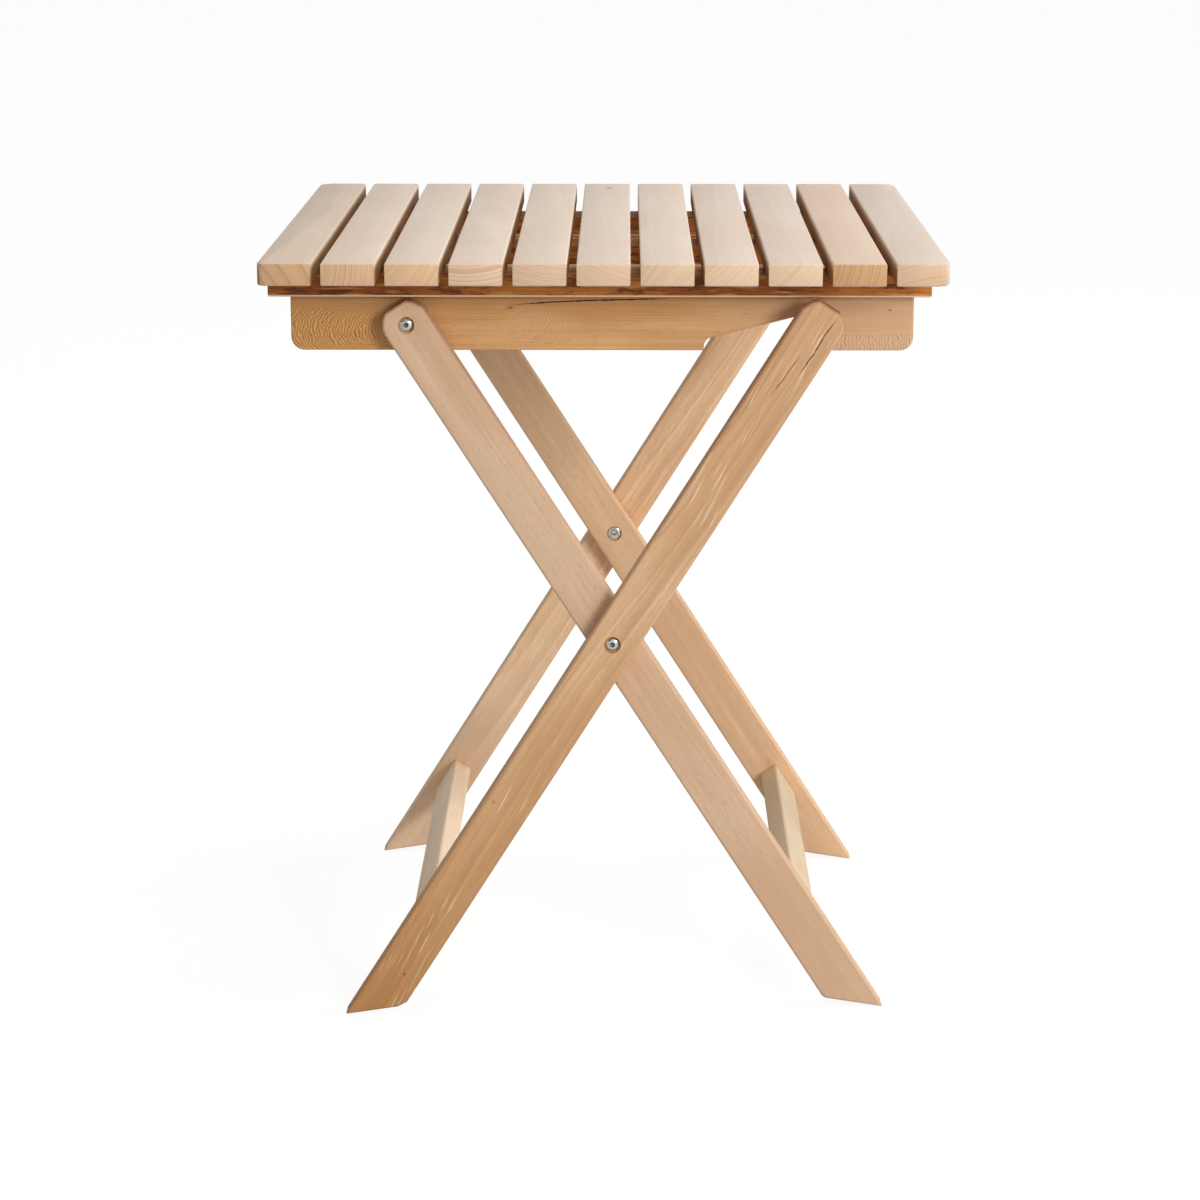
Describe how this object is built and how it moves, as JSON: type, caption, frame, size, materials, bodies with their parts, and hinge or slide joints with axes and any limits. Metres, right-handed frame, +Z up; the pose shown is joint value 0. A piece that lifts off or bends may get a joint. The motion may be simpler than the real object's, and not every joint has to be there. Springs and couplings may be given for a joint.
{
  "type": "folding picnic table",
  "caption": "Folding wooden table with a slatted square top, crossed leg frames on pivot bolts, and a rod that props the top in notched aprons.",
  "frame": {"origin": "on the floor, under the centre of the top", "axes": "+Z up, +Y along the slats from front to rear, +X to the right along the battens and aprons"},
  "size_m": [0.6064, 0.6, 0.72],
  "materials": {
    "slat_wood": "pale bare hardwood, finely sanded, with growth rings showing on the end grain",
    "batten_wood": "orange-brown bare hardwood, mottled",
    "apron_wood": "golden bare hardwood with curly figure",
    "inner_leg_wood": "light pinkish bare hardwood, sanded",
    "outer_leg_wood": "golden brown bare hardwood with pale streaks",
    "stretcher_wood": "pale bare hardwood, sanded",
    "dowel_wood": "plain turned dowel",
    "zinc_steel": "bright zinc plate"
  },
  "bodies": {
    "inner_frame": {"inner_leg_front": "inner_leg_wood", "inner_leg_rear": "inner_leg_wood", "inner_stretcher": "stretcher_wood", "inner_dowel_front_low": "dowel_wood", "inner_dowel_front_high": "dowel_wood", "inner_dowel_rear_low": "dowel_wood", "inner_dowel_rear_high": "dowel_wood", "crossing_bolt_front": "zinc_steel", "crossing_bolt_rear": "zinc_steel", "crossing_sleeve_nut_front": "zinc_steel", "crossing_sleeve_nut_rear": "zinc_steel", "crossing_washer_front": "zinc_steel", "crossing_washer_rear": "zinc_steel", "top_pivot_bolt_front": "zinc_steel", "top_pivot_bolt_rear": "zinc_steel", "top_pivot_sleeve_nut_front": "zinc_steel", "top_pivot_sleeve_nut_rear": "zinc_steel", "top_pivot_washer_front": "zinc_steel", "top_pivot_washer_rear": "zinc_steel"},
    "tabletop": {"slat_01": "slat_wood", "slat_02": "slat_wood", "slat_03": "slat_wood", "slat_04": "slat_wood", "slat_05": "slat_wood", "slat_06": "slat_wood", "slat_07": "slat_wood", "slat_08": "slat_wood", "slat_09": "slat_wood", "slat_10": "slat_wood", "slat_11": "slat_wood", "batten_front": "batten_wood", "batten_middle": "batten_wood", "batten_rear": "batten_wood", "apron_front": "apron_wood", "apron_rear": "apron_wood", "apron_screw_front_1": "zinc_steel", "apron_screw_front_2": "zinc_steel", "apron_screw_front_3": "zinc_steel", "apron_screw_rear_1": "zinc_steel", "apron_screw_rear_2": "zinc_steel", "apron_screw_rear_3": "zinc_steel"},
    "outer_frame": {"outer_leg_front": "outer_leg_wood", "outer_leg_rear": "outer_leg_wood", "outer_stretcher": "stretcher_wood", "outer_dowel_front_low": "dowel_wood", "outer_dowel_front_high": "dowel_wood", "outer_dowel_rear_low": "dowel_wood", "outer_dowel_rear_high": "dowel_wood", "support_rod": "stretcher_wood"}
  },
  "joints": [
    {"name": "top_tilt", "type": "hinge", "parent": "inner_frame", "child": "tabletop", "pos_m": [-0.17841, 0, 0.65349], "axis": [0, -1, 0], "range_deg": [0, 122.6]},
    {"name": "legs_fold", "type": "hinge", "parent": "inner_frame", "child": "outer_frame", "pos_m": [0.008, 0, 0.362], "axis": [0, -1, 0], "range_deg": [0, 58.5]}
  ],
  "couplings": [
    {"joint": "legs_fold", "follows": "top_tilt", "ratio": 0.477}
  ]
}
